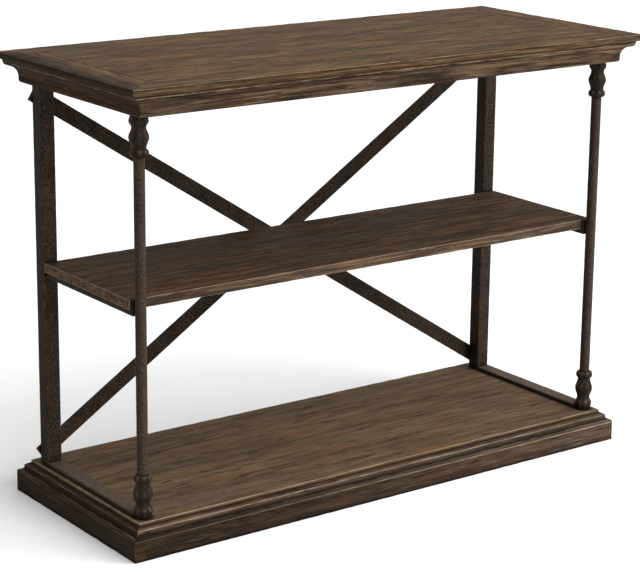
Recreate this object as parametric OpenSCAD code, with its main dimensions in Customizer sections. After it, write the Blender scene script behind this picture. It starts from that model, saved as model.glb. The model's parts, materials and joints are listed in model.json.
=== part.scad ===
// Console table: a plank top with a deep cornice, an iron frame with a cross-braced back,
// a middle shelf and a stepped plinth base.
// The origin is the centre of the footprint on the floor. +X runs along the table,
// +Y runs to the cross-braced back, and +Z runs up. All sizes are in millimetres.

/* [Overall] */
// Height of the table, floor to top
table_h = 914; // [750:1:1100]
// Length of the top, along X
top_l = 1260; // [900:1:1800]
// Depth of the top, along Y
top_d = 528; // [480:1:700]
// How far the base stays inside the top at each end
base_inset_x = 10; // [4:0.5:30]
// How far the base stays inside the top at the front and the back
base_inset_y = 28; // [20:0.5:45]

/* [Top boards] */
// Thickness of the top boards
top_t = 21; // [18:0.5:30]
// Width of the mitred border around the planks
border_w = 72; // [62:1:80]
// Height of the rounded nosing on the border's edge
nose_h = 14.5; // [8:0.5:16]
// How far the nosing curls in under the edge
nose_in = 7; // [3:0.5:9]
// Depth of the step under the nosing, from the outer edge
step_in = 11; // [10:0.5:12]

/* [Cornice] */
// Height of the cornice moulding under the top boards
cornice_h = 39; // [34:0.5:55]
// Depth of the cornice where it meets the top boards, from the top's edge
cornice_in = 12; // [10:0.5:16]
// Width of the bead at the top of the cornice
bead_w = 5; // [3:0.5:7]
// Height of the bead
bead_h = 5.5; // [4:0.5:7]
// Width of the cove
cove_w = 17; // [10:0.5:22]
// Height of the cove
cove_h = 21.5; // [14:0.5:22]
// Width of the round on the cornice's lower edge
heel_w = 4; // [2:0.5:6]
// Height of the round on the cornice's lower edge
heel_h = 6; // [3:0.5:6]
// Width of the cornice's flat underside
sole_w = 50; // [46:1:60]

/* [Shelf] */
// Height of the shelf's top face above the floor
shelf_z = 500; // [300:1:600]
// Thickness of the shelf planks
shelf_t = 20; // [15:0.5:30]
// Clearance between the shelf and the iron around it
shelf_gap = 0.3; // [0.1:0.1:0.8]

/* [Base] */
// Height of the plinth boards
plinth_h = 47; // [40:1:70]
// Thickness of the plinth boards
plinth_t = 30; // [26:1:40]
// Radius of the plinth's upper outer edge
plinth_r = 6; // [2:0.5:6.5]
// Height of the deck's top face above the plinth
deck_t = 22; // [18:0.5:28]
// How far the deck stays inside the plinth's outer face
deck_inset = 22; // [18:0.5:23]
// Height of the lower step of the base moulding
tier_h = 10.5; // [9:0.5:13]
// How far the lower step stays inside the plinth's outer face
tier_in = 11.5; // [9:0.5:14]
// Height of the lower step's upright edge
tier_edge = 4; // [2:0.5:5]
// Height of the base moulding where it meets the deck
moulding_h = 16; // [14:0.5:17]

/* [Battens] */
// Width of the hidden battens
batten_w = 60; // [50:1:70]
// Thickness of the hidden battens
batten_t = 20; // [16:1:24]

/* [Iron frame] */
// How far the frame's side plane stays inside the base
side_inset = 47; // [45:0.5:50]
// How far the front posts' centres stay inside the base
front_inset = 48; // [45:0.5:49]
// How far the uprights' centres stay inside the base
rear_inset = 63; // [60:0.5:70]
// Diameter of a front post
post_d = 22; // [18:0.5:24]
// Width of a square upright
upright_w = 32; // [28:0.5:34]
// Wall of the square upright
upright_wall = 2; // [1.5:0.5:4]
// Radius of the upright's edges
upright_r = 2; // [1:0.5:3]
// Length of the plugs in the upright's ends
plug_l = 50; // [46:1:70]
// Width of a bottom rail
bottom_rail_w = 32; // [24:1:34]
// Thickness of a bottom rail
bottom_rail_t = 8; // [7:0.5:12]
// Width of a shelf rail
shelf_rail_w = 22; // [18:0.5:28]
// Height of a shelf rail
shelf_rail_h = 12; // [10:0.5:20]
// Thickness of the tab at a shelf rail's front end
tab_t = 3.5; // [2:0.5:5]

/* [Balusters] */
// Height of a baluster at the foot of a post
baluster_h = 87; // [76:1:120]
// Height of a baluster at the head of a post
upper_baluster_h = 79; // [72:1:110]
// Radius of the flare at its foot
flare_r = 19; // [17:0.5:20]
// Radius of the foot where it meets the wood
foot_r = 16; // [15:0.5:19]
// Radius of the two necks
neck_r = 14; // [13:0.1:15]
// Radius of the bulb
bulb_r = 19.5; // [17:0.5:20]
// Radius of the ring below the post
ring_r = 18.8; // [18:0.1:20]
// Height of the ring
ring_h = 14; // [10:0.5:16]
// How far the ring swells from its top and bottom
ring_swell = 5; // [3:0.5:5.5]

/* [Cross braces] */
// Width of a brace bar
brace_w = 32; // [20:1:36]
// Thickness of a brace bar
brace_t = 6; // [4:0.5:8]
// How far a bar's upper corner reaches past the upright's centre
brace_over = 6.5; // [2:0.5:10]
// Gap between a bar's corner and the wood above or below it
brace_gap = 3; // [1:0.5:20]

/* [Fasteners] */
// Diameter of the bolts and studs that hold the frame to the wood
bolt_d = 8; // [6:1:8]
// Length of a bolt or stud inside the iron
bolt_grip = 14; // [8:1:20]
// Length of a stud inside the cornice
stud_l = 30; // [20:1:33]
// Diameter of the screws that hold the rails, braces and battens
screw_d = 5; // [4:0.5:6]
// Clearance around a fastener in a plain hole
hole_gap = 0.25; // [0.1:0.05:0.5]
// Clearance around a fastener in a tapped hole
thread_gap = 0.05; // [0.05:0.05:0.1]

/* [Hidden] */
$fn = 64;
eps = 0.01;

// Counts of what repeats
top_planks = 4;
shelf_planks = 3;
deck_planks = 4;
arc_steps = 8;

// The base and where the frame stands on it
base_l = top_l - 2 * base_inset_x;
base_d = top_d - 2 * base_inset_y;
frame_x = base_l / 2 - side_inset;
post_y = -(base_d / 2 - front_inset);
upright_y = base_d / 2 - rear_inset;
deck_z = plinth_h + deck_t;
deck_l = base_l - 2 * deck_inset;
deck_d = base_d - 2 * deck_inset;

// The top, from its upper face down
boards_z = table_h - top_t;
sole_z = boards_z - cornice_h;
sole_in = cornice_in + bead_w + cove_w + heel_w;
ring_in = sole_in + sole_w;
planks_l = top_l - 2 * border_w;
planks_d = top_d - 2 * border_w;
frame_h = sole_z - deck_z;

// The uprights' faces and the shelf between them and the posts
post_r = post_d / 2;
upright_front_y = upright_y - upright_w / 2;
upright_back_y = upright_y + upright_w / 2;
upright_out_x = frame_x + upright_w / 2;
plug_gap = 0.2;
plug_w = upright_w - 2 * upright_wall - 2 * plug_gap;
rail_front_y = post_y + post_r + plug_gap;
shelf_front_y = rail_front_y + tab_t + shelf_gap;
shelf_back_y = upright_front_y - shelf_gap;
shelf_l = 2 * upright_out_x;
shelf_d = shelf_back_y - shelf_front_y;
shelf_rail_z = shelf_z - shelf_t - shelf_rail_h;

// Battens: the end ones lie against the plinth or carry the outer thirds of the top
base_inner_x = base_l / 2 - plinth_t;
base_inner_d = base_d - 2 * plinth_t;
base_batten_x = base_inner_x - batten_w / 2;
base_batten_z = plinth_h - batten_t;
top_inner_d = top_d - 2 * ring_in;
top_batten_x = planks_l / 3;
top_batten_z = boards_z - batten_t;

// Cross braces: each bar's corner lies brace_gap short of the wood
cross_z = (deck_z + sole_z) / 2;
corner_x = frame_x + brace_over;
corner_z = frame_h / 2 - brace_gap;
corner_reach = sqrt(corner_x * corner_x + corner_z * corner_z);
brace_half = sqrt(corner_reach * corner_reach - brace_w * brace_w / 4);
brace_angle = atan(corner_z / corner_x) - atan(brace_w / 2 / brace_half);
brace_bolt_z = frame_x * tan(brace_angle);
lap_gap = 0.1;

// Fastener details
bolt_r = bolt_d / 2;
screw_r = screw_d / 2;
head_r = 1.6 * bolt_r;
head_h = 0.65 * bolt_d;
washer_r = 2.2 * bolt_r;
washer_t = 1.6;
screw_head_r = 1.9 * screw_r;
screw_head_h = 0.6 * screw_d;
plank_bite = 12;
rail_bite = 5;
brace_bite = 8;
tap_room = 2;
sleeve_gap = 0.15;
flare_gap = 0.3;

// Places of the fasteners
frame_spots = [for (x = [-frame_x, frame_x]) for (y = [post_y, upright_y]) [x, y]];
plank_y = function (total, count, i) -total / 2 + (i + 0.5) * total / count;
deck_spots = [for (x = [-base_batten_x, 0, base_batten_x])
    for (i = [0:deck_planks - 1]) [x, plank_y(deck_d, deck_planks, i)]];
top_spots = [for (x = [-top_batten_x, 0, top_batten_x])
    for (i = [0:top_planks - 1]) [x, plank_y(planks_d, top_planks, i)]];
rail_run = upright_front_y - rail_front_y;
rail_shares = [0.3, 0.7];
rail_spots = [for (x = [-frame_x, frame_x])
    for (share = rail_shares) [x, rail_front_y + share * rail_run]];
shelf_spots = [for (x = [-frame_x, frame_x])
    for (i = [0:shelf_planks - 1])
        [x, (shelf_front_y + shelf_back_y) / 2 + plank_y(shelf_d, shelf_planks, i)]];

// Colours of the weathered wood and the hammered iron
wood_light = [0.42, 0.34, 0.26];
wood_dark = [0.29, 0.22, 0.17];
wood_inner = [0.52, 0.43, 0.33];
iron = [0.18, 0.16, 0.145];
steel = [0.45, 0.44, 0.42];

// ---- Shared shapes ----

// Points of a quarter ellipse about c, from angle a to angle b
function arc(c, rx, rz, a, b) =
    [for (i = [0:arc_steps]) let (t = a + (b - a) * i / arc_steps) c + [rx * cos(t), rz * sin(t)]];

// One side of a mitred rectangular frame. The child is its section:
// X runs inwards from the outer face, and Y runs up.
module mitred_side(side, length, depth) {
    across = side == "left" || side == "right";
    run = across ? depth : length;
    reach = across ? length : depth;
    turn = side == "front" ? 0 : side == "right" ? 90 : side == "back" ? 180 : 270;
    inner = min(run, reach) / 2;
    rotate([0, 0, turn])
        intersection() {
            translate([-run / 2, -reach / 2, 0])
                rotate([90, 0, 90])
                    linear_extrude(run)
                        children();
            linear_extrude(table_h)
                polygon([
                    [-run / 2, -reach / 2],
                    [run / 2, -reach / 2],
                    [run / 2 - inner, inner - reach / 2],
                    [inner - run / 2, inner - reach / 2]
                ]);
        }
}

// A plank along X, from the front of a panel of the given size
module plank(length, total, count, i, thickness) {
    width = total / count;
    translate([-length / 2, -total / 2 + i * width, 0])
        cube([length, width, thickness]);
}

// Round holes or pins at a list of places
module holes(spots, r, z, h) {
    for (p = spots)
        translate([p[0], p[1], z])
            cylinder(r = r, h = h);
}

// A square with true round corners
module round_square(w, r) {
    square([w - 2 * r, w], center = true);
    square([w, w - 2 * r], center = true);
    for (x = [-1, 1])
        for (y = [-1, 1])
            translate([x * (w / 2 - r), y * (w / 2 - r)])
                circle(r);
}

// A fastener that points up, with its head below z = 0
module bolt(r, length, head_radius, head_height) {
    cylinder(r = r, h = length);
    translate([0, 0, -head_height])
        cylinder(r = head_radius, h = head_height + eps);
}

// ---- Top ----

module border_section() {
    polygon(concat(
        [[border_w, table_h]],
        arc([nose_in, table_h], nose_in, nose_h, 180, 270),
        [
            [step_in, table_h - nose_h],
            [step_in, boards_z],
            [border_w, boards_z]
        ]
    ));
}

module top_border(side) {
    color(wood_light)
        mitred_side(side, top_l, top_d)
            border_section();
}

module top_plank(i) {
    color(wood_light)
        difference() {
            translate([0, 0, boards_z])
                plank(planks_l, planks_d, top_planks, i, top_t);
            holes(top_spots, screw_r + thread_gap, boards_z - eps, plank_bite + tap_room);
        }
}

module cornice_section() {
    bead_x = cornice_in + bead_w;
    cove_z = boards_z - bead_h - cove_h;
    polygon(concat(
        [[ring_in, boards_z]],
        arc([bead_x, boards_z], bead_w, bead_h, 180, 270),
        arc([bead_x, cove_z], cove_w, cove_h, 90, 0),
        arc([sole_in, sole_z + heel_h], heel_w, heel_h, 180, 270),
        [[ring_in, sole_z]]
    ));
}

module cornice(side) {
    color(wood_dark)
        difference() {
            mitred_side(side, top_l, top_d)
                cornice_section();
            holes(frame_spots, bolt_r + thread_gap, sole_z - eps, stud_l + tap_room);
        }
}

module top_batten(x) {
    color(wood_inner)
        difference() {
            translate([x - batten_w / 2, -top_inner_d / 2, top_batten_z])
                cube([batten_w, top_inner_d, batten_t]);
            holes(top_spots, screw_r + hole_gap, top_batten_z - eps, batten_t + 2 * eps);
        }
}

// ---- Shelf ----

module shelf_plank(i) {
    color(wood_dark)
        difference() {
            translate([0, (shelf_front_y + shelf_back_y) / 2, shelf_z - shelf_t])
                plank(shelf_l, shelf_d, shelf_planks, i, shelf_t);
            holes(shelf_spots, screw_r + thread_gap, shelf_z - shelf_t - eps, plank_bite + tap_room);
        }
}

// ---- Base ----

module deck_plank(i) {
    color(wood_light)
        difference() {
            translate([0, 0, plinth_h])
                plank(deck_l, deck_d, deck_planks, i, deck_t);
            holes(frame_spots, bolt_r + hole_gap, plinth_h - eps, deck_t + 2 * eps);
            holes(rail_spots, screw_r + hole_gap, plinth_h - eps, deck_t + 2 * eps);
            holes(deck_spots, screw_r + thread_gap, plinth_h - eps, plank_bite + tap_room);
        }
}

module moulding_section() {
    cove_w = tier_in - plinth_r;
    cove_h = tier_h - tier_edge;
    polygon(concat(
        [[deck_inset, plinth_h]],
        arc([plinth_r, plinth_h + cove_h], cove_w, cove_h, 270, 360),
        [
            [tier_in, plinth_h + tier_h],
            [deck_inset, plinth_h + moulding_h]
        ]
    ));
}

module base_moulding(side) {
    color(wood_dark)
        mitred_side(side, base_l, base_d)
            moulding_section();
}

module plinth_section() {
    polygon(concat(
        [[plinth_t, 0], [0, 0]],
        arc([plinth_r, plinth_h - plinth_r], plinth_r, plinth_r, 180, 90),
        [[plinth_t, plinth_h]]
    ));
}

module plinth(side) {
    color(wood_dark)
        mitred_side(side, base_l, base_d)
            plinth_section();
}

module base_batten(x) {
    color(wood_inner)
        difference() {
            translate([x - batten_w / 2, -base_inner_d / 2, base_batten_z])
                cube([batten_w, base_inner_d, batten_t]);
            holes(frame_spots, bolt_r + hole_gap, base_batten_z - eps, batten_t + 2 * eps);
            holes(concat(rail_spots, deck_spots), screw_r + hole_gap, base_batten_z - eps,
                batten_t + 2 * eps);
        }
}

// ---- Iron frame ----

module front_post(x) {
    color(iron)
        translate([x, post_y, deck_z])
            difference() {
                cylinder(r = post_r, h = frame_h);
                for (z = [-eps, frame_h - bolt_grip - tap_room])
                    translate([0, 0, z])
                        cylinder(r = bolt_r + thread_gap, h = bolt_grip + tap_room + eps);
            }
}

// Shares of the height below the ring, and the radius at each, from the foot up
baluster_knots = [
    [0, foot_r],
    [0.20, flare_r],
    [0.37, neck_r],
    [0.66, bulb_r],
    [0.97, neck_r],
    [1, neck_r]
];

// Points that swing smoothly from one knot to the next
function turned(k) =
    [for (j = [0:len(k) - 2]) for (i = [0:arc_steps - 1])
        let (t = i / arc_steps, s = (1 - cos(180 * t)) / 2)
            [k[j][1] + s * (k[j + 1][1] - k[j][1]), k[j][0] + t * (k[j + 1][0] - k[j][0])]];

module baluster(h) {
    ring_z = h - ring_h;
    knots = [for (k = baluster_knots) [k[0] * ring_z, k[1]]];
    bore = post_r + sleeve_gap;
    rotate_extrude()
        polygon(concat(
            [[bore, 0]],
            turned(knots),
            arc([ring_r - ring_swell, ring_z + ring_h / 2], ring_swell, ring_h / 2, -90, 90),
            [[bore, h]]
        ));
}

module lower_baluster(x) {
    color(iron)
        translate([x, post_y, deck_z])
            baluster(baluster_h);
}

module upper_baluster(x) {
    color(iron)
        translate([x, post_y, sole_z])
            mirror([0, 0, 1])
                baluster(upper_baluster_h);
}

module rear_upright(x) {
    inner_r = max(upright_r - upright_wall, 0.3);
    color(iron)
        difference() {
            translate([x, upright_y, deck_z])
                linear_extrude(frame_h)
                    difference() {
                        round_square(upright_w, upright_r);
                        round_square(upright_w - 2 * upright_wall, inner_r);
                    }
            brace_bolt_cuts(upright_back_y + eps, upright_wall + 2 * eps);
        }
}

// Tapped holes for the brace bolts, from a face at y and running forward
module brace_bolt_cuts(y, depth) {
    for (x = [-frame_x, frame_x])
        for (z = [cross_z - brace_bolt_z, cross_z + brace_bolt_z])
            translate([x, y, z])
                rotate([90, 0, 0])
                    cylinder(r = screw_r + thread_gap, h = depth);
}

module upright_plugs(z, tap_z) {
    color(steel)
        difference() {
            for (x = [-frame_x, frame_x])
                translate([x - plug_w / 2, upright_y - plug_w / 2, z])
                    cube([plug_w, plug_w, plug_l]);
            holes(frame_spots, bolt_r + thread_gap, tap_z, bolt_grip + tap_room + eps);
            brace_bolt_cuts(upright_back_y, upright_wall + brace_bite + tap_room);
        }
}

module upright_foot_plugs() {
    upright_plugs(deck_z, deck_z - eps);
}

module upright_head_plugs() {
    upright_plugs(sole_z - plug_l, sole_z - bolt_grip - tap_room);
}

// A flat bar on the deck, from the upright to the hollow that clears the baluster's foot
module bottom_rail(x) {
    color(iron)
        difference() {
            translate([x - bottom_rail_w / 2, post_y, deck_z])
                cube([bottom_rail_w, upright_front_y - post_y, bottom_rail_t]);
            translate([x, post_y, deck_z - eps])
                cylinder(r = flare_r + flare_gap, h = bottom_rail_t + 2 * eps);
            holes(rail_spots, screw_r + thread_gap, deck_z - eps, rail_bite + tap_room / 2);
        }
}

// A bar under the shelf's end, with a tab that turns up behind the post
module shelf_rail(x) {
    color(iron)
        difference() {
            translate([x - shelf_rail_w / 2, rail_front_y, shelf_rail_z]) {
                cube([shelf_rail_w, rail_run, shelf_rail_h]);
                cube([shelf_rail_w, tab_t, shelf_rail_h + shelf_t]);
            }
            holes(shelf_spots, screw_r + hole_gap, shelf_rail_z - eps, shelf_rail_h + 2 * eps);
        }
}

// ---- Cross braces ----

// A bar behind the uprights, halved over half its thickness where the bars cross.
// lean is 1 for the bar that rises to the right and -1 for the other.
module brace(lean) {
    lap_t = brace_t / 2 + lap_gap / 2 + eps;
    lap_w = brace_w + 2 * lap_gap;
    color(iron)
        translate([0, upright_back_y + brace_t / 2, cross_z])
            difference() {
                rotate([0, -lean * brace_angle, 0])
                    cube([2 * brace_half, brace_t, brace_w], center = true);
                rotate([0, lean * brace_angle, 0])
                    translate([-brace_half, lean > 0 ? -lap_gap / 2 : lap_gap / 2 - lap_t, -lap_w / 2])
                        cube([2 * brace_half, lap_t, lap_w]);
                rotate([90, 0, 0])
                    cylinder(r = screw_r + hole_gap, h = 2 * brace_t, center = true);
                for (end = [-1, 1])
                    translate([end * frame_x, 0, end * lean * brace_bolt_z])
                        rotate([90, 0, 0])
                            cylinder(r = screw_r + hole_gap, h = 2 * brace_t, center = true);
            }
}

module brace_rivet() {
    color(iron)
        for (face = [0, 1])
            translate([0, upright_back_y + brace_t / 2, cross_z])
                mirror([0, face, 0])
                    rotate([90, 0, 0])
                        translate([0, 0, brace_t / 2])
                            cylinder(r = screw_head_r, h = screw_head_h);
    color(iron)
        translate([0, upright_back_y + brace_t, cross_z])
            rotate([90, 0, 0])
                cylinder(r = screw_r, h = brace_t);
}

module brace_bolts() {
    color(iron)
        for (x = [-frame_x, frame_x])
            for (z = [cross_z - brace_bolt_z, cross_z + brace_bolt_z])
                translate([x, upright_back_y + brace_t, z])
                    rotate([90, 0, 0])
                        bolt(screw_r, brace_t + upright_wall + brace_bite, screw_head_r, screw_head_h);
}

// ---- Fasteners ----

module frame_bolts() {
    color(steel)
        for (p = frame_spots)
            translate([p[0], p[1], base_batten_z - washer_t])
                bolt(bolt_r, washer_t + batten_t + deck_t + bolt_grip, head_r, head_h);
}

module frame_washers() {
    color(steel)
        for (p = frame_spots)
            translate([p[0], p[1], base_batten_z - washer_t])
                difference() {
                    cylinder(r = washer_r, h = washer_t);
                    translate([0, 0, -eps])
                        cylinder(r = bolt_r + hole_gap, h = washer_t + 2 * eps);
                }
}

module frame_studs() {
    color(steel)
        holes(frame_spots, bolt_r, sole_z - bolt_grip, bolt_grip + stud_l);
}

module screws(spots, z, length) {
    color(steel)
        for (p = spots)
            translate([p[0], p[1], z])
                bolt(screw_r, length, screw_head_r, screw_head_h);
}

module rail_screws() {
    screws(rail_spots, base_batten_z, batten_t + deck_t + rail_bite);
}

module shelf_screws() {
    screws(shelf_spots, shelf_rail_z, shelf_rail_h + plank_bite);
}

module top_batten_screws() {
    screws(top_spots, top_batten_z, batten_t + plank_bite);
}

module base_batten_screws() {
    screws(deck_spots, base_batten_z, batten_t + plank_bite);
}

// ---- The table ----

top_border("front");  // top_border_front
top_border("back");  // top_border_back
top_border("left");  // top_border_left
top_border("right");  // top_border_right
top_plank(0);  // top_plank_1
top_plank(1);  // top_plank_2
top_plank(2);  // top_plank_3
top_plank(3);  // top_plank_4
cornice("front");  // cornice_front
cornice("back");  // cornice_back
cornice("left");  // cornice_left
cornice("right");  // cornice_right
top_batten(-top_batten_x);  // top_batten_left
top_batten(0);  // top_batten_centre
top_batten(top_batten_x);  // top_batten_right
shelf_plank(0);  // shelf_plank_1
shelf_plank(1);  // shelf_plank_2
shelf_plank(2);  // shelf_plank_3
deck_plank(0);  // deck_plank_1
deck_plank(1);  // deck_plank_2
deck_plank(2);  // deck_plank_3
deck_plank(3);  // deck_plank_4
base_moulding("front");  // base_moulding_front
base_moulding("back");  // base_moulding_back
base_moulding("left");  // base_moulding_left
base_moulding("right");  // base_moulding_right
plinth("front");  // plinth_front
plinth("back");  // plinth_back
plinth("left");  // plinth_left
plinth("right");  // plinth_right
base_batten(-base_batten_x);  // base_batten_left
base_batten(0);  // base_batten_centre
base_batten(base_batten_x);  // base_batten_right
front_post(-frame_x);  // front_left_post
front_post(frame_x);  // front_right_post
upper_baluster(-frame_x);  // upper_baluster_left
upper_baluster(frame_x);  // upper_baluster_right
lower_baluster(-frame_x);  // lower_baluster_left
lower_baluster(frame_x);  // lower_baluster_right
rear_upright(-frame_x);  // rear_left_upright
rear_upright(frame_x);  // rear_right_upright
upright_foot_plugs();
upright_head_plugs();
bottom_rail(-frame_x);  // bottom_rail_left
bottom_rail(frame_x);  // bottom_rail_right
shelf_rail(-frame_x);  // shelf_rail_left
shelf_rail(frame_x);  // shelf_rail_right
brace(1);  // brace_rising
brace(-1);  // brace_falling
brace_rivet();
brace_bolts();
frame_bolts();
frame_washers();
frame_studs();
rail_screws();
shelf_screws();
top_batten_screws();
base_batten_screws();
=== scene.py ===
"""Looks of the console table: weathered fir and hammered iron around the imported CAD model."""
import json
import math

import bmesh
import bpy
from mathutils import Matrix, Vector, noise


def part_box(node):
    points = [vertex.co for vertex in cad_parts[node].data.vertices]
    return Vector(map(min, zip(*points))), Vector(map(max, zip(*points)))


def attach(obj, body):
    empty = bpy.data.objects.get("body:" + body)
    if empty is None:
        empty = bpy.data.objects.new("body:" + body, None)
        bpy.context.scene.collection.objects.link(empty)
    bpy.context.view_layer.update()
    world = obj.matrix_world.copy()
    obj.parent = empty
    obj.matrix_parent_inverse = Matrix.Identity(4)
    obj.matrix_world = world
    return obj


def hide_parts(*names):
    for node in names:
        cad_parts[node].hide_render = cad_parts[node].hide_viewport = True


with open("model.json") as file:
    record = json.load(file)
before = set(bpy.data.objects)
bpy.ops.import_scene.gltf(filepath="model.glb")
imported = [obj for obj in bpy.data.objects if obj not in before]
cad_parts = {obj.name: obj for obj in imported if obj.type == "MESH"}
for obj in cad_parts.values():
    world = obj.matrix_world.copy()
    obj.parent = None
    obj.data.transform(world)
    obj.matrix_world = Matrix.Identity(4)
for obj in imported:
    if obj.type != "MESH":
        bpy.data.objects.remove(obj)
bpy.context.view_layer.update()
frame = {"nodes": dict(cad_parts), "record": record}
nodes = frame["nodes"]
slot_of = {s["node"]: s["material_slot"] for s in frame["record"]["subparts"]}
boxes = {name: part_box(name) for name in nodes}
AXES = {"x": Vector((1, 0, 0)), "y": Vector((0, 1, 0)), "z": Vector((0, 0, 1))}


# ---- Node materials ----

def linear(r, g, b):
    """A colour written as 0 to 255, as Blender's scene-linear colour."""
    out = []
    for c in (r, g, b):
        c /= 255
        out.append(c / 12.92 if c <= 0.04045 else ((c + 0.055) / 1.055) ** 2.4)
    return (*out, 1)


class Graph:
    """Short calls that add shader nodes and link them. Inputs are sockets or plain values."""

    def __init__(self, material):
        material.use_nodes = True
        self.tree = material.node_tree
        self.shader = self.tree.nodes["Principled BSDF"]

    def node(self, kind, links=(), **props):
        n = self.tree.nodes.new(kind)
        for key, value in props.items():
            setattr(n, key, value)
        for socket, value in dict(links).items():
            self.feed(n.inputs[socket], value)
        return n

    def feed(self, socket, value):
        if isinstance(value, bpy.types.NodeSocket):
            self.tree.links.new(value, socket)
        else:
            socket.default_value = value

    def math(self, op, a, b=0.0, c=0.0):
        n = self.node("ShaderNodeMath", operation=op)
        for i, v in enumerate((a, b, c)):
            self.feed(n.inputs[i], v)
        return n.outputs[0]

    def vector(self, op, a, b):
        n = self.node("ShaderNodeVectorMath", operation=op)
        self.feed(n.inputs[0], a)
        self.feed(n.inputs[1], b)
        return n.outputs[0]

    def noise(self, where, scale=1.0, detail=3.0, rough=0.5):
        links = {"Vector": where, "Scale": scale, "Detail": detail, "Roughness": rough}
        return self.node("ShaderNodeTexNoise", links).outputs[0]

    def ramp(self, value, low, high, to_low=0.0, to_high=1.0):
        """A soft step between to_low at low and to_high at high."""
        n = self.node("ShaderNodeMapRange", interpolation_type="SMOOTHSTEP")
        for i, v in enumerate((value, low, high, to_low, to_high)):
            self.feed(n.inputs[i], v)
        return n.outputs[0]

    def mix(self, share, a, b, blend="MIX"):
        """A share of b laid over a."""
        n = self.node("ShaderNodeMix", data_type="RGBA", blend_type=blend)
        self.feed(n.inputs[0], share)
        self.feed(n.inputs[6], a)
        self.feed(n.inputs[7], b)
        return n.outputs[2]

    def attribute(self, name, output="Fac"):
        return self.node("ShaderNodeAttribute", attribute_name=name).outputs[output]

    def recess(self, reach):
        """1 in the open, less where other faces stand within reach."""
        n = self.node("ShaderNodeAmbientOcclusion", {"Distance": reach}, samples=8)
        return n.outputs["AO"]

    def bump(self, strength, distance, height):
        links = {"Strength": strength, "Distance": distance, "Height": height}
        self.feed(self.shader.inputs["Normal"], self.node("ShaderNodeBump", links).outputs[0])


KNOT_CELLS = (3.1, 9.5)  # cells per metre along and across the grain, some of them with a knot
WAVE = 0.026  # how far slow waves bend the grain, in metres
ARCHES = 120.0  # how close the growth rings lie


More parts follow.
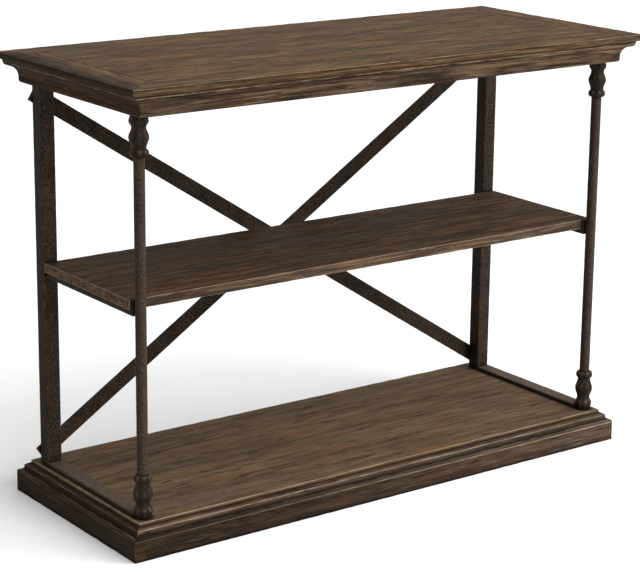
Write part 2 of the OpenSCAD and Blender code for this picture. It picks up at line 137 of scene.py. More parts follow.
def wood(name, base, dark, light, warm, grey, pale, streak=1.0, fine=1.0, fleck=0.25, painted_recess_shade=0.95):
    """Weathered fir. The mesh carries grain (along, across, across), worn, seam and
    stain_and_painted_light: a tint of stain with painted light and shade.

    The colours are written as 0 to 255. streak, fleck and painted_recess_shade say how strong the
    bands, the short flecks and the painted shade in recesses are, and fine how much narrower the
    grain is.
    """
    m = bpy.data.materials.new(name)
    g = Graph(m)
    base, dark, light, warm, grey, pale = (
        linear(*colour) for colour in (base, dark, light, warm, grey, pale)
    )
    grain = g.attribute("grain", "Vector")

    def stretched(along, across, bent=None):
        """The grain in cells per metre, along it and across it."""
        return g.vector("MULTIPLY", bent or grain, (along, across * fine, across * fine))

    # slow waves bend the lines, and knots push them aside
    wave = g.node("ShaderNodeTexNoise", {"Vector": stretched(2.2, 7), "Scale": 1.0, "Detail": 2.0})
    shift = g.vector("SUBTRACT", wave.outputs[1], (0.5, 0.5, 0.5))
    shift = g.vector("MULTIPLY", shift, (0.0, WAVE / fine, WAVE / fine))
    place = stretched(*KNOT_CELLS)
    cells = g.node("ShaderNodeTexVoronoi", {"Vector": place, "Scale": 1.0, "Randomness": 0.9})
    chance = g.node("ShaderNodeSeparateColor", {"Color": cells.outputs["Color"]}).outputs[0]
    has_knot = g.ramp(chance, 0.58, 0.62)
    distance = cells.outputs["Distance"]
    halo = g.math("MULTIPLY", g.ramp(distance, 0.36, 0.04), has_knot)
    push = g.vector("SUBTRACT", cells.outputs["Position"], place)
    push = g.vector("MULTIPLY", push, (0, 0.07, 0.07))
    push = g.node("ShaderNodeVectorMath", {"Vector": push, "Scale": halo}, operation="SCALE")
    bent = g.vector("ADD", g.vector("ADD", grain, shift), push.outputs[0])

    # patterns from broad to fine
    broad = g.noise(stretched(2.6, 20, bent), detail=4, rough=0.62)
    bands = g.noise(stretched(4.8, 62, bent), detail=5, rough=0.68)
    lines = g.noise(stretched(11, 210, bent), detail=4, rough=0.62)
    strokes = g.noise(stretched(15, 105, bent), detail=3, rough=0.62)
    streaks = g.noise(stretched(7, 75, bent), detail=2, rough=0.5)
    arches = g.noise(stretched(0.9, 5.5, bent), detail=1, rough=0.4)
    rings = g.math("SINE", g.math("MULTIPLY", arches, ARCHES))
    rings = g.math("MULTIPLY_ADD", rings, 0.5, 0.5)
    pores = g.noise(stretched(80, 1000, bent), detail=2, rough=0.6)
    flecks = g.noise(stretched(13, 150, bent), detail=3, rough=0.6)
    patch = g.noise(stretched(3.2, 14, bent), detail=4, rough=0.65)
    hue = g.noise(stretched(3.4, 24, bent), detail=4, rough=0.66)
    scuffs = g.noise(stretched(22, 40), detail=4, rough=0.7)

    # colours, each laid over the ones before
    colour = g.mix(g.ramp(broad, 0.30, 0.52), dark, base)
    colour = g.mix(g.ramp(rings, 0.60, 0.95, 0.0, 0.35 * streak), colour, dark)
    colour = g.mix(g.ramp(bands, 0.51, 0.60, 0.0, 0.70 * streak), colour, light)
    colour = g.mix(g.ramp(bands, 0.48, 0.39, 0.0, 0.85 * streak), colour, dark)
    colour = g.mix(g.ramp(hue, 0.54, 0.68, 0.0, 0.60), colour, warm)
    colour = g.mix(g.ramp(patch, 0.50, 0.64, 0.0, 0.65), colour, grey)
    colour = g.mix(g.ramp(lines, 0.49, 0.36, 0.0, 0.70 * streak), colour, dark)
    colour = g.mix(g.ramp(lines, 0.58, 0.74, 0.0, 0.45 * streak), colour, pale)
    colour = g.mix(g.ramp(streaks, 0.40, 0.33, 0.0, 0.60 * streak), colour, dark)
    colour = g.mix(g.ramp(strokes, 0.60, 0.66, 0.0, 0.80), colour, linear(34, 25, 19))
    colour = g.mix(g.ramp(flecks, 0.49, 0.37, 0.0, 0.85 * fleck), colour, dark)
    colour = g.mix(g.ramp(flecks, 0.54, 0.68, 0.0, 0.50 * fleck), colour, pale)

    # open checks along the grain, black in their depth
    checks = g.noise(stretched(12, 190, bent), detail=2, rough=0.5)
    zones = g.noise(stretched(4, 14), detail=2)
    open_check = g.math("MULTIPLY", g.ramp(checks, 0.655, 0.72), g.ramp(zones, 0.47, 0.60))
    ink = linear(26, 19, 15)
    colour = g.mix(g.math("MULTIPLY", open_check, 0.75), colour, ink)

    # knots: a dark heart in a warm ring
    ring = g.math("MULTIPLY", g.ramp(distance, 0.17, 0.10), has_knot)
    heart = g.math("MULTIPLY", g.ramp(distance, 0.095, 0.045), has_knot)
    colour = g.mix(g.math("MULTIPLY", ring, 0.45), colour, linear(74, 48, 30))
    colour = g.mix(g.math("MULTIPLY", heart, 0.85), colour, linear(30, 20, 15))

    # pores, pale rubbed edges, dark seams, painted shade in recesses, and over all the tint of
    # stain with painted light and shade
    colour = g.mix(g.ramp(pores, 0.52, 0.36, 0.0, 0.30), colour, ink)
    edge = g.math("ADD", g.attribute("worn"), g.math("MULTIPLY_ADD", scuffs, 0.9, -0.62))
    rub = g.ramp(edge, 0.42, 0.85, 0.0, 0.80)
    colour = g.mix(rub, colour, pale)
    # dark joints; in inner corners this dark is painted shade
    seam = g.ramp(g.attribute("seam"), 0.50, 1.0, 0.0, 0.85)
    colour = g.mix(g.math("MULTIPLY", seam, g.ramp(bands, 0.62, 0.40, 0.35, 1.0)), colour, ink)
    # painted shade in recesses
    colour = g.mix(g.ramp(g.recess(0.013), 0.92, 0.58, 0.0, painted_recess_shade), colour, ink)
    # the tint over all: stain, with painted light and shade
    colour = g.mix(1.0, colour, g.attribute("stain_and_painted_light", "Color"), "MULTIPLY")
    g.feed(g.shader.inputs["Base Color"], colour)

    rough = g.math("MULTIPLY_ADD", bands, 0.22, 0.61)
    g.feed(g.shader.inputs["Roughness"], g.math("MULTIPLY_ADD", rub, 0.12, rough))
    g.shader.inputs["Specular IOR Level"].default_value = 0.05

    height = g.math("MULTIPLY_ADD", lines, 0.5, g.math("MULTIPLY", bands, 0.7))
    height = g.math("MULTIPLY_ADD", pores, 0.25, height)
    height = g.math("SUBTRACT", height, g.math("MULTIPLY", open_check, 0.8))
    height = g.math("MULTIPLY_ADD", scuffs, 0.25, height)
    g.bump(0.75, 0.0011, height)
    return m


HAMMER_CELLS = 330.0  # hammer marks per metre


def iron(name, base, dark, fleck):
    """Hammered iron whose dark bronze coat is rubbed through on the high spots.

    The mesh carries worn, shade and cast. worn is wear, and on castings also a painted highlight on
    faces that look up. shade is painted shade: on the sides that face left, and on castings in the
    hollows of the lobes and on faces that look down. cast is 1 on castings. They are smoother. The
    colours are written as 0 to 255.
    """
    m = bpy.data.materials.new(name)
    g = Graph(m)
    base, dark, fleck = (linear(*colour) for colour in (base, dark, fleck))
    where = g.node("ShaderNodeTexCoord").outputs["Object"]
    worn = g.attribute("worn")
    cast = g.attribute("cast")
    marks = {"Vector": where, "Scale": HAMMER_CELLS, "Smoothness": 0.5}
    hammer = g.node("ShaderNodeTexVoronoi", marks, feature="SMOOTH_F1").outputs["Distance"]
    grit = g.noise(where, scale=HAMMER_CELLS * 1.6, detail=3, rough=0.65)
    cloud = g.noise(where, scale=14, detail=4, rough=0.6)
    smear = g.noise(where, scale=55, detail=3, rough=0.6)
    mottle = g.noise(where, scale=150, detail=3, rough=0.7)

    # the coat, its flecks on high spots, and the dark of the hammer marks
    colour = g.mix(g.ramp(cloud, 0.38, 0.64), dark, base)
    colour = g.mix(g.ramp(smear, 0.52, 0.72, 0.0, 0.5), colour, linear(60, 44, 33))
    high = g.math("MULTIPLY", g.ramp(hammer, 0.38, 0.60), g.ramp(grit, 0.44, 0.60))
    high = g.math("MULTIPLY", high, g.math("MULTIPLY_ADD", cast, -0.40, 0.58))
    colour = g.mix(high, colour, fleck)
    colour = g.mix(g.ramp(hammer, 0.28, 0.08, 0.0, 0.7), colour, linear(20, 15, 13))

    # rubbed edges (on castings worn also brings a painted highlight to faces that look up), painted
    # shade in recesses, and painted shade on the sides that face left and in the castings' hollows
    # and undersides
    rub = g.ramp(g.math("MULTIPLY_ADD", grit, 0.5, worn), 0.62, 1.1, 0.0, 0.45)
    colour = g.mix(rub, colour, fleck)
    patches = g.math("MULTIPLY", g.ramp(mottle, 0.48, 0.64), g.ramp(worn, 0.5, 0.8, 0.0, 0.55))
    colour = g.mix(patches, colour, fleck)
    # painted shade in recesses
    colour = g.mix(g.ramp(g.recess(0.007), 0.90, 0.50, 0.0, 0.85), colour, linear(12, 9, 8))
    # painted shade on left sides, and in hollows and on undersides of castings
    colour = g.mix(g.math("MULTIPLY", g.attribute("shade"), 0.75), colour, linear(14, 11, 10))
    g.feed(g.shader.inputs["Base Color"], colour)

    g.shader.inputs["Metallic"].default_value = 0.05
    g.shader.inputs["Specular IOR Level"].default_value = 0.03
    rough = g.math("MULTIPLY_ADD", cast, -0.12, g.math("MULTIPLY_ADD", grit, 0.25, 0.43))
    g.feed(g.shader.inputs["Roughness"], rough)
    hammer = g.math("MULTIPLY", hammer, g.math("MULTIPLY_ADD", cast, -0.7, 1.0))
    height = g.math("MULTIPLY_ADD", grit, 0.30, hammer)
    height = g.math("MULTIPLY_ADD", smear, 0.6, height)
    g.bump(0.9, 0.0011, height)
    return m


def steel(name):
    """Plain zinc-plated fastener steel."""
    m = bpy.data.materials.new(name)
    g = Graph(m)
    where = g.node("ShaderNodeTexCoord").outputs["Object"]
    blotch = g.noise(where, scale=120, detail=4, rough=0.65)
    grit = g.noise(where, scale=900, detail=2)
    colour = g.mix(g.ramp(blotch, 0.40, 0.66), linear(128, 124, 116), linear(168, 166, 160))
    colour = g.mix(g.ramp(blotch, 0.60, 0.72, 0.0, 0.5), colour, linear(112, 82, 58))
    g.feed(g.shader.inputs["Base Color"], colour)
    g.shader.inputs["Metallic"].default_value = 0.8
    g.feed(g.shader.inputs["Roughness"], g.math("MULTIPLY_ADD", grit, 0.2, 0.35))
    g.bump(0.4, 0.0003, grit)
    return m


# The colours of each wood, and how its grain differs from plain
WOODS = {
    "top_wood": dict(
        base=(92, 70, 47), dark=(55, 40, 27), light=(113, 89, 61),
        warm=(114, 74, 41), grey=(78, 67, 50), pale=(148, 129, 103),
        streak=1.15, fleck=0.42,
    ),
    "cornice_wood": dict(
        base=(86, 67, 49), dark=(42, 30, 22), light=(112, 91, 68),
        warm=(102, 67, 40), grey=(78, 67, 54), pale=(152, 135, 112),
        # weaker painted shade in recesses, to keep the cove under the nosing lit
        streak=1.3, fine=2.0, fleck=0.30, painted_recess_shade=0.72,
    ),
    "shelf_wood": dict(
        base=(70, 51, 33), dark=(40, 28, 18), light=(91, 69, 47),
        warm=(88, 56, 31), grey=(62, 52, 39), pale=(118, 101, 79),
        streak=1.3,
    ),
    "deck_wood": dict(
        base=(101, 81, 60), dark=(70, 54, 40), light=(116, 96, 73),
        warm=(118, 80, 47), grey=(80, 70, 58), pale=(150, 133, 109),
        streak=0.8,
    ),
    "plinth_wood": dict(
        base=(82, 64, 49), dark=(50, 38, 29), light=(100, 82, 63),
        warm=(100, 68, 43), grey=(72, 63, 53), pale=(154, 139, 118),
        streak=0.85, fine=1.6,
    ),
    "batten_wood": dict(
        base=(150, 126, 96), dark=(112, 90, 66), light=(172, 148, 116),
        warm=(150, 112, 76), grey=(128, 114, 94), pale=(188, 168, 138),
    ),
}
materials = {name: wood(name, **look) for name, look in WOODS.items()}
materials["hammered_iron"] = iron("hammered_iron", (42, 34, 28), (30, 24, 19), (98, 84, 71))
materials["fixings"] = steel("fixings")


# ---- Meshes, in metres ----

WORN_FADE = 0.0025  # how far wear reaches beyond an edge


def add_floats(mesh, name, values):
    """Stores one number per point."""
    layer = mesh.attributes.new(name, "FLOAT", "POINT")
    layer.data.foreach_set("value", values)


def cad_mesh(name, join_flat=True):
    """A CAD node's mesh without doubled points, and with the faces of one plane joined if asked."""
    bm = bmesh.new()
    bm.from_mesh(nodes[name].data)
    bmesh.ops.remove_doubles(bm, verts=bm.verts, dist=2e-6)
    if join_flat:
        bmesh.ops.dissolve_limit(
            bm, angle_limit=math.radians(0.6), verts=bm.verts, edges=bm.edges
        )
    return bm


def round_off(bm, edges, radius):
    """Rounds edges with two narrow faces each."""
    bmesh.ops.bevel(
        bm, geom=edges, offset=radius, segments=2, profile=0.5, affect="EDGES", clamp_overlap=True
    )


def cut(bm, at, normal):
    """Cuts every face along a plane, so that there are points to move."""
    parts = bm.verts[:] + bm.edges[:] + bm.faces[:]
    bmesh.ops.bisect_plane(bm, geom=parts, plane_co=at, plane_no=normal)


def move_points(bm, moves):
    """Moves each point by its own vector, once all of them are known."""
    for v, move in zip(bm.verts, moves):
        v.co += move


def finish_mesh(bm, source, keep_sharp=32.0):
    """The bmesh as an object that stands for the CAD node and takes its slot.

    Iron gets its shade too: painted shade on the sides that face left.
    """
    mesh = bpy.data.meshes.new("look_" + source)
    bm.to_mesh(mesh)
    bm.free()
    mesh.shade_smooth()
    mesh.set_sharp_from_angle(angle=math.radians(keep_sharp))
    obj = bpy.data.objects.new("look_" + source, mesh)
    bpy.context.scene.collection.objects.link(obj)
    slot = slot_of[source]
    obj.data.materials.append(materials[slot])
    if slot == "hammered_iron":
        # painted shade on the sides that face left, deeper on the uprights
        most = 0.65 if "upright" in source else 0.5
        add_floats(mesh, "shade", [most * max(0.0, -v.normal.x) ** 2 for v in mesh.vertices])
    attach(obj, "root")
    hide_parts(source)
    return obj


def inside_other(point, name):
    """Whether a point lies in the box of another CAD node."""
    return any(
        other != name and all(lo[i] < point[i] < hi[i] for i in range(3))
        for other, (lo, hi) in boxes.items()
    )


def segment(a, b):
    """Where a line starts, its run, and its length squared."""
    return a.copy(), b - a, (b - a).length_squared


def near_share(point, segments, core, fade):
    """1 within core of the nearest segment, falling to 0 over fade."""
    best = 1e9
    for a, ab, length2 in segments:
        t = max(0.0, min(1.0, (point - a).dot(ab) / length2))
        best = min(best, (a + ab * t - point).length_squared)
    return max(0.0, min(1.0, 1 - (math.sqrt(best) - core) / fade))


# ---- Boards ----

ON_LINE = 0.0008  # a point as near as this to a face or a line lies on it
NOSING_LINE = 0.0028  # how far below the top's upper face a line of painted shade runs round it
LEFT_RIM = 0.012  # width of the painted shade along the top's left end
LEFT_RIM_FADE = 0.008  # how much of it is the fade
WARM_PATCH = 0.025  # width of the warm patch low on the plinth's front left corner


def stain_and_painted_light(name, p, normal):
    """The tint at a place: stain, with painted light and shade.

    The left side is darker, and so is the left end of the top: painted shade. On the left side,
    faces that look up are lighter: painted light. The front plinth darkens towards the left: a
    stain, and painted shade. The grooves of the base mouldings and a line round the top are darker:
    painted shade. The front cornice is lighter towards the right and in its cove: painted light.
    The shelf's edges are lighter than its face.
    """
    lo, hi = boxes[name]
    share = max(0.0, min(1.0, (p.x - lo.x) / (hi.x - lo.x)))
    rise = (p.z - lo.z) / (hi.z - lo.z)
    depth = 1.0
    # painted shade on the left side, with faces that look up lighter as painted light
    if name in ("plinth_left", "base_moulding_left"):
        depth = 0.32 + 0.50 * max(0.0, normal.z)
    # painted shade on the cornice's left side
    elif name == "cornice_left":
        return (0.42, 0.33, 0.27)
    # painted light: lighter towards the right and in the cove
    elif name == "cornice_front":
        in_cove = max(0.0, 1 - abs(rise - 0.62) / 0.25)
        depth = (0.86 + 0.16 * share) * (1 + 0.40 * in_cove)
    # painted shade along the top's left end
    elif name == "top_border_left":
        depth = 1.0 - 0.75 * max(0.0, min(1.0, (lo.x + LEFT_RIM - p.x) / LEFT_RIM_FADE))
    # darker towards the left end: a stain, and painted shade
    elif name == "plinth_front":
        depth = 0.29 + 0.72 * share ** 1.4
        if p.x - lo.x < WARM_PATCH and p.z < (lo.z + hi.z) / 2:
            return (0.70, 0.50, 0.36)
    elif name.startswith("shelf_plank") and p.z < hi.z - ON_LINE:
        return (1.48, 1.68, 2.10)
    # painted shade in the grooves of the base mouldings
    if name.startswith("base_moulding"):
        groove = max(0.0, min(1.0, max((rise - 0.80) / 0.12, (0.34 - rise) / 0.16)))
        depth *= 1 - 0.70 * groove
    # painted shade on a line round the top, under its upper edge
    if name.startswith("top_border") and abs(hi.z - NOSING_LINE - p.z) < ON_LINE:
        depth *= 0.42
    pale = min(1.0, depth)
    return (depth, depth * (0.93 + 0.07 * pale), depth * (0.88 + 0.12 * pale))


ROUND = 0.006  # radius of the plinth's upper outer edge


def rounded_edges(name):
    """The two lines that bound a plinth board's rounded edge, which wear like sharp edges."""
    if not name.startswith("plinth_"):
        return []
    lo, hi = boxes[name]
    side = name.rsplit("_", 1)[1]
    lines = []
    for inset, z in ((ROUND, hi.z), (0.0, hi.z - ROUND)):
        corners = {
            "front": ((lo.x, lo.y + inset, z), (hi.x, lo.y + inset, z)),
            "back": ((lo.x, hi.y - inset, z), (hi.x, hi.y - inset, z)),
            "left": ((lo.x + inset, lo.y, z), (lo.x + inset, hi.y, z)),
            "right": ((hi.x - inset, lo.y, z), (hi.x - inset, hi.y, z)),
        }[side]
        lines.append(segment(*(Vector(corner) for corner in corners)))
    return lines


CORNER = math.radians(24)  # faces that meet at more than this make an edge
SHORTEST = 0.004  # shorter edges stay as they are
MARGIN = 0.0024  # from an edge to the next row of points
SEAM_FADE = 0.0022  # how far the dark of a seam reaches: dark joints, and painted shade in inner corners
RIPPLE = 0.00035  # depth of the slow ripples on worn edges
FINER = 2.2  # how much finer the grain of flat boards is across their thickness
OWN_GRAIN = (3.7, 1.9, 2.3)  # from one board's place in the grain to the next one's
OFF_FACE, IN_FROM_EDGE = 6e-4, 1e-3  # where a neighbour that hides an edge is looked for


def board_edges(bm, name):
    """A board's convex edges, the lines that wear, and the darkened seams: joints that another
    piece hides, and inner corners, where the dark is painted shade.
    """
    convex, worn, seams = [], [], []
    for e in bm.edges:
        if len(e.link_faces) != 2 or e.calc_length() < SHORTEST:
            continue
        turn = e.calc_face_angle_signed()
        a, b = (v.co for v in e.verts)
        if turn < -CORNER:
            seams.append(segment(a, b))
        if turn < CORNER:
            continue
        convex.append(e)
        # another piece just off one of its two faces hides an edge
        middle = (a + b) / 2
        n1, n2 = (f.normal for f in e.link_faces)
        hidden = any(
            inside_other(middle + off * OFF_FACE - other * IN_FROM_EDGE, name)
            for off, other in ((n1, n2), (n2, n1))
        )
        (seams if hidden else worn).append(segment(a, b))
    return convex, worn + rounded_edges(name), seams


def is_wide(face, soft):
    """Whether a face has room for a row of points inside its edges."""
    return (
        face.calc_area() > 4e-4
        and min(e.calc_length() for e in face.edges) > soft * 0.8
        and len(face.verts) < 12
        and face.calc_area() / face.calc_perimeter() > 0.004
    )


def board(name, along, soft, step, dent, seed):
    """A board: its CAD mesh with rounded, dented edges, and grain that runs along one axis.

    soft is the radius of the edges, step the distance between points along the grain, and dent
    the depth of the knocks. The seed gives each board its own place in the grain.
    """
    axis = AXES[along]
    lo, hi = boxes[name]
    bm = cad_mesh(name)
    convex, worn, seams = board_edges(bm, name)
    round_off(bm, convex, soft)
    if "plank" in name or "batten" in name:
        for way in AXES.values():
            cut(bm, lo + way * MARGIN, way)
            cut(bm, hi - way * MARGIN, way)
    else:
        wide = [f for f in bm.faces if is_wide(f, soft)]
        bmesh.ops.inset_individual(bm, faces=wide, thickness=MARGIN, use_even_offset=True)
    count = int((hi - lo).dot(axis) / step)
    for i in range(1, count):
        cut(bm, lo + (hi - lo) * (i / count), axis)
    bm.normal_update()

    rubbed = 0.85 if name.endswith("_left") else 1.0
    thin = FINER if slot_of[name] in ("top_wood", "shelf_wood", "deck_wood") else 1.0
    home = Vector([seed * shift for shift in OWN_GRAIN])
    share_worn, share_seam, grain, moves = [], [], [], []
    for v in bm.verts:
        p = v.co
        w = rubbed * near_share(p, worn, soft * 0.9, WORN_FADE)
        share_worn.append(w)
        share_seam.append(near_share(p, seams, soft * 0.9, SEAM_FADE))
        run, across = (p.x, p.y) if along == "x" else (p.y, p.x)
        grain += (run + home.x, across + home.y, p.z * thin + home.z)
        knock = max(0.0, noise.noise(p * 38) - 0.05) + 0.5 * max(0.0, noise.noise(p * 120))
        drop = w * knock * dent * 2.2 + RIPPLE * (0.5 + 0.5 * noise.noise(p * 14)) * w
        moves.append(v.normal * -drop)
    move_points(bm, moves)

    mesh = finish_mesh(bm, name).data
    layer = mesh.attributes.new("grain", "FLOAT_VECTOR", "POINT")
    layer.data.foreach_set("vector", grain)
    add_floats(mesh, "worn", share_worn)
    add_floats(mesh, "seam", share_seam)
    tints = [stain_and_painted_light(name, v.co, v.normal) for v in mesh.vertices]
    paint = mesh.attributes.new("stain_and_painted_light", "FLOAT_COLOR", "POINT")
    paint.data.foreach_set("color", [c for tint in tints for c in (*tint, 1)])


# ---- Iron ----

HAMMER_DENTS = 210  # dents per metre, about 5 mm wide
TUBE_DENT, BAR_DENT, CAST_DENT = 0.00035, 0.0003, 0.00012  # their depth


def hammered_move(point, depth):
    """How deep the hammer went at a point: dents with soft rims on slow waves."""
    near = noise.voronoi(point * HAMMER_DENTS)[0]
    return depth * (max(0.0, 1 - near[0] * 1.5) + 0.5 * (0.5 + 0.5 * noise.noise(point * 60)))


def ring_mesh(rings):
    """A tube from rings of the same number of points, open at both ends, and its loops."""
    bm = bmesh.new()
    loops = [[bm.verts.new(p) for p in ring] for ring in rings]
    for a, b in zip(loops, loops[1:]):
        for i in range(len(a)):
            j = (i + 1) % len(a)
            bm.faces.new((a[i], a[j], b[j], b[i]))
    return bm, loops


SIDE_POINTS, CORNER_POINTS = 8, 4  # points along each side and round each corner of a tube
RING_STEP = 0.004  # from one ring of points to the next


def square_outline(half, radius):
    """Points round a square with round corners, and how near each is to a corner."""
    points, shares = [], []
    flat = half - radius
    for quarter in range(4):
        turn = quarter * math.pi / 2
        c, s = math.cos(turn), math.sin(turn)
        for i in range(SIDE_POINTS):
            y = -flat + 2 * flat * i / SIDE_POINTS
            points.append((c * half - s * y, s * half + c * y))
            shares.append(max(0.0, 1 - (flat - abs(y)) / WORN_FADE) * 0.6)
        for i in range(CORNER_POINTS):
            t = math.pi / 2 * i / CORNER_POINTS
            x, y = flat + radius * math.cos(t), flat + radius * math.sin(t)
            points.append((c * x - s * y, s * x + c * y))
            shares.append(1.0)
    return points, shares


def upright(name):
    """A square tube whose outer faces are hammered. Its bore is plain."""
    lo, hi = boxes[name]
    centre = (lo + hi) / 2
    half = (hi.x - lo.x) / 2
    wall, radius, bore_radius = 0.002, 0.002, 0.0004
    outline, shares = square_outline(half, radius)
    count = int((hi.z - lo.z) / RING_STEP)
    rings, worn = [], []
    for k in range(count + 1):
        z = lo.z + (hi.z - lo.z) * k / count
        ring = []
        for (x, y), share in zip(outline, shares):
            p = Vector((centre.x + x, centre.y + y, z))
            out = Vector((x, y, 0)).normalized()
            end = 0.0 if k in (0, count) else 1.0
            ring.append(p - out * hammered_move(p, TUBE_DENT) * end)
            worn.append(share * (0.5 + 0.5 * noise.noise(p * 50)))
        rings.append(ring)
    bm, loops = ring_mesh(rings)
    inner, _ = square_outline(half - wall, bore_radius)
    bores = []
    for loop in (loops[0], loops[-1]):
        z = loop[0].co.z
        bore = [bm.verts.new((centre.x + x, centre.y + y, z)) for x, y in inner]
        bores.append(bore)
        for i in range(len(loop)):
            j = (i + 1) % len(loop)
            bm.faces.new((loop[j], loop[i], bore[i], bore[j]))
    for i in range(len(inner)):
        j = (i + 1) % len(inner)
        bm.faces.new((bores[0][j], bores[0][i], bores[1][i], bores[1][j]))
    bmesh.ops.recalc_face_normals(bm, faces=bm.faces)
    worn += [0.0] * (2 * len(inner))
    add_floats(finish_mesh(bm, name).data, "worn", worn)


IRON_EDGE = 0.0006  # radius of the iron's softened edges
IRON_FADE = 0.0022  # how far their wear reaches


def from_cad(name, cut_axes, rubbed=0.0):
    """An iron piece from its CAD mesh, with softened edges and hammered faces.

    cut_axes are the directions in which it gets more points, each with their distance, and
    rubbed is the least wear of its faces.
    """
    bm = cad_mesh(name)
    edges = [
        e for e in bm.edges
        if len(e.link_faces) == 2 and e.calc_length() > 0.0025
        and e.calc_face_angle_signed() > math.radians(35)
    ]
    segments = [segment(*(v.co for v in e.verts)) for e in edges]
    if edges:
        round_off(bm, edges, IRON_EDGE)
    for normal, step in cut_axes:
        normal = Vector(normal).normalized()
        spans = [normal.dot(v.co) for v in bm.verts]
        low, high = min(spans), max(spans)
        count = max(1, int((high - low) / step))
        for i in range(1, count):
            cut(bm, normal * (low + (high - low) * i / count), normal)
    bm.normal_update()
    worn, moves = [], []
    for v in bm.verts:
        share = near_share(v.co, segments, IRON_EDGE, IRON_FADE)
        worn.append(max(rubbed, share * (0.5 + 0.5 * noise.noise(v.co * 50))))
        moves.append(v.normal * -hammered_move(v.co, BAR_DENT))
    move_points(bm, moves)
    add_floats(finish_mesh(bm, name).data, "worn", worn)


NECK = 0.0125  # a baluster's radius where its lobes begin
NECK_FADE = 0.005  # over this they reach their full depth
SOCKET = 0.0112  # inside this radius the casting fits the post and is not moved
LOBES, LOBE_DEPTH = 8, 0.0007


def baluster(name):
    """A cast baluster: the turned CAD shape with the soft lobes and pits of a casting."""
    bm = cad_mesh(name, join_flat=False)
    lo, hi = boxes[name]
    centre = (lo + hi) / 2
    bm.normal_update()
    worn, hollow_and_underside_shade, moves = [], [], []
    for v in bm.verts:
        out = Vector((v.co.x - centre.x, v.co.y - centre.y, 0))
        radius = out.length
        turn = math.atan2(out.y, out.x)
        share = max(0.0, min(1.0, (radius - NECK) / NECK_FADE))
        sway = 1.5 * noise.noise(Vector((lo.x * 9, v.co.z * 12, 0)))
        lobes = 0.5 + 0.5 * math.cos(LOBES * turn + sway)
        move = -(LOBE_DEPTH * lobes * share + hammered_move(v.co, CAST_DENT))
        moves.append(out.normalized() * move if radius > SOCKET else Vector())
        # worn: wear on the crests between the lobes, and a painted highlight on faces that look up
        rub = 0.55 * share * (1 - lobes) + 0.75 * max(0.0, v.normal.z)
        worn.append(rub * (0.8 + 0.4 * noise.noise(v.co * 90)))
        # painted shade in the hollows of the lobes and on faces that look down
        hollow_and_underside_shade.append(min(0.9, 0.40 * share * lobes ** 2 + 0.65 * max(0.0, -v.normal.z)))
    move_points(bm, moves)
    mesh = finish_mesh(bm, name, keep_sharp=50).data
    add_floats(mesh, "worn", worn)
    add_floats(mesh, "cast", [1.0] * len(worn))
    mesh.attributes["shade"].data.foreach_set("value", hollow_and_underside_shade)


# ---- Pieces ----

# Every board, with the axis of its grain
wooden = [name for name in sorted(nodes) if slot_of[name].endswith("_wood")]
for seed, name in enumerate(wooden, start=1):
    slot = slot_of[name]
    batten = slot == "batten_wood"
    board(
        name,
        along="y" if batten or name.endswith(("_left", "_right")) else "x",
        soft=0.0006 if batten else 0.0009,
        step=0.03 if batten else 0.009,
        dent=0.0005 if slot in ("deck_wood", "shelf_wood") else 0.0010,
        seed=seed,
    )

# The iron, with the directions and distances of its points
for side in ("left", "right"):
    upright(f"rear_{side}_upright")
    from_cad(f"front_{side}_post", [((0, 0, 1), 0.004)], rubbed=0.55)
    from_cad(f"bottom_rail_{side}", [((0, 1, 0), 0.004), ((1, 0, 0), 0.004)], rubbed=0.8)
    from_cad(f"shelf_rail_{side}", [((0, 1, 0), 0.006), ((1, 0, 0), 0.006), ((0, 0, 1), 0.006)])
    baluster(f"upper_baluster_{side}")
    baluster(f"lower_baluster_{side}")
lo, hi = boxes["brace_rising"]
lean = math.atan2(hi.z - lo.z, hi.x - lo.x)
for name, way in (("brace_rising", 1), ("brace_falling", -1)):
    run = (math.cos(lean), 0, way * math.sin(lean))
    side = (-way * math.sin(lean), 0, math.cos(lean))
    from_cad(name, [(run, 0.006), (side, 0.006)])

# Plugs and fixings keep their CAD meshes
for name in nodes:
    if slot_of[name] in ("hammered_iron", "fixings") and not nodes[name].hide_render:
        nodes[name].data.materials.clear()
        nodes[name].data.materials.append(materials[slot_of[name]])


# ---- Stage: floor, light and camera ----

FLOOR = 14  # half the floor's side

floor_mesh = bpy.data.meshes.new("floor")
floor_mesh.from_pydata(
    [(-FLOOR, -FLOOR, 0), (FLOOR, -FLOOR, 0), (FLOOR, FLOOR, 0), (-FLOOR, FLOOR, 0)],
    [], [(0, 1, 2, 3)],
)
floor = bpy.data.objects.new("floor", floor_mesh)
bpy.context.scene.collection.objects.link(floor)
floor_material = bpy.data.materials.new("floor")
fg = Graph(floor_material)
speck = fg.noise(fg.node("ShaderNodeTexCoord").outputs["Object"], scale=3.0, detail=2)
white = fg.mix(speck, (0.93, 0.93, 0.93, 1), (0.96, 0.96, 0.96, 1))
fg.feed(fg.shader.inputs["Base Color"], white)
fg.shader.inputs["Roughness"].default_value = 0.9
fg.shader.inputs["Specular IOR Level"].default_value = 0.1
floor_mesh.materials.append(floor_material)

# The camera and reflections see a white studio, which lights the table less than it shows
world = bpy.data.worlds.new("studio")
bpy.context.scene.world = world
world.use_nodes = True
wt = world.node_tree
wt.nodes.clear()


def background(strength):
    """White light of one strength."""
    n = wt.nodes.new("ShaderNodeBackground")
    n.inputs["Color"].default_value = (1, 1, 1, 1)
    n.inputs["Strength"].default_value = strength
    return n.outputs[0]


def either(a, b):
    """1 where one of two kinds of ray is met."""
    n = wt.nodes.new("ShaderNodeMath")
    n.operation = "MAXIMUM"
    wt.links.new(a, n.inputs[0])
    wt.links.new(b, n.inputs[1])
    return n.outputs[0]


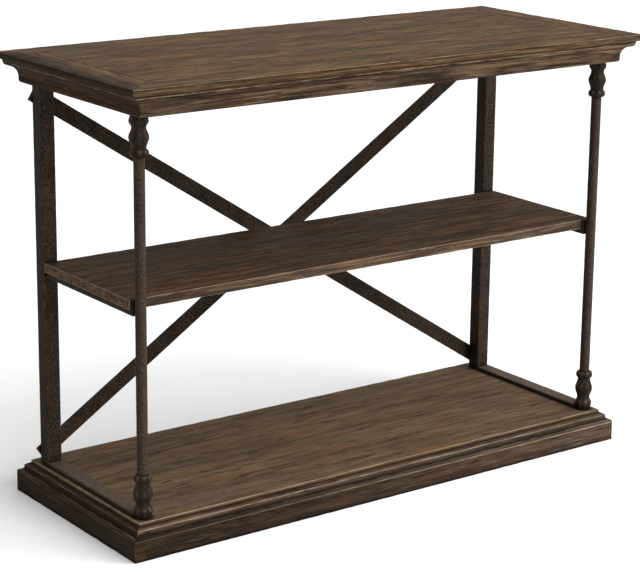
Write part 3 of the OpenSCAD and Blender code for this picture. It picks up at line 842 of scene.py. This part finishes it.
path = wt.nodes.new("ShaderNodeLightPath").outputs
seen = either(path["Is Camera Ray"], path["Is Transmission Ray"])
mixer = wt.nodes.new("ShaderNodeMixShader")
wt.links.new(either(seen, path["Is Glossy Ray"]), mixer.inputs[0])
wt.links.new(background(0.46), mixer.inputs[1])
wt.links.new(background(1.0), mixer.inputs[2])
wt.links.new(mixer.outputs[0], wt.nodes.new("ShaderNodeOutputWorld").inputs["Surface"])


def add_light(data, direction, place=(0, 0, 0)):
    """A light that shines in a direction."""
    obj = bpy.data.objects.new(data.name, data)
    obj.location = place
    obj.rotation_mode = "QUATERNION"
    obj.rotation_quaternion = direction.to_track_quat("-Z", "Y")
    bpy.context.scene.collection.objects.link(obj)


KEY_PLACE, KEY_AIM = (2.2, -2.6, 1.7), (0.2, 0, 0.4)
key = bpy.data.lights.new("key", "AREA")
key.shape = "DISK"
key.size = 1.8
key.energy = 60
add_light(key, Vector(KEY_AIM) - Vector(KEY_PLACE), KEY_PLACE)
sun = bpy.data.lights.new("sun", "SUN")
sun.energy = 3.05
sun.angle = math.radians(80)
add_light(sun, Vector((-0.36, 0.54, -0.76)))

# The camera stands in front, left of the table and above it. It was fitted to the photo's edges.
YAW, PITCH, ROLL = (math.radians(a) for a in (36.201, 14.441, 0.625))
FOCAL, PHOTO_WIDTH = 2065.42, 640  # pixels
SENSOR = 36
CAMERA_PLACE = (-2.49379, -3.37734, 1.55924)
forward = Vector(
    (math.sin(YAW) * math.cos(PITCH), math.cos(YAW) * math.cos(PITCH), -math.sin(PITCH))
)
level = Vector((math.cos(YAW), -math.sin(YAW), 0))
up = level.cross(forward)
right = level * math.cos(ROLL) + up * math.sin(ROLL)
top = up * math.cos(ROLL) - level * math.sin(ROLL)
camera_data = bpy.data.cameras.new("camera")
camera_data.sensor_width = SENSOR
camera_data.lens = FOCAL * SENSOR / PHOTO_WIDTH
camera_data.shift_y = -0.06
camera_data.clip_end = 60
camera = bpy.data.objects.new("camera", camera_data)
camera.matrix_world = Matrix((
    *((right[i], top[i], -forward[i], CAMERA_PLACE[i]) for i in range(3)),
    (0, 0, 0, 1),
))
bpy.context.scene.collection.objects.link(camera)
bpy.context.scene.camera = camera
bpy.context.scene.view_settings.view_transform = "Standard"
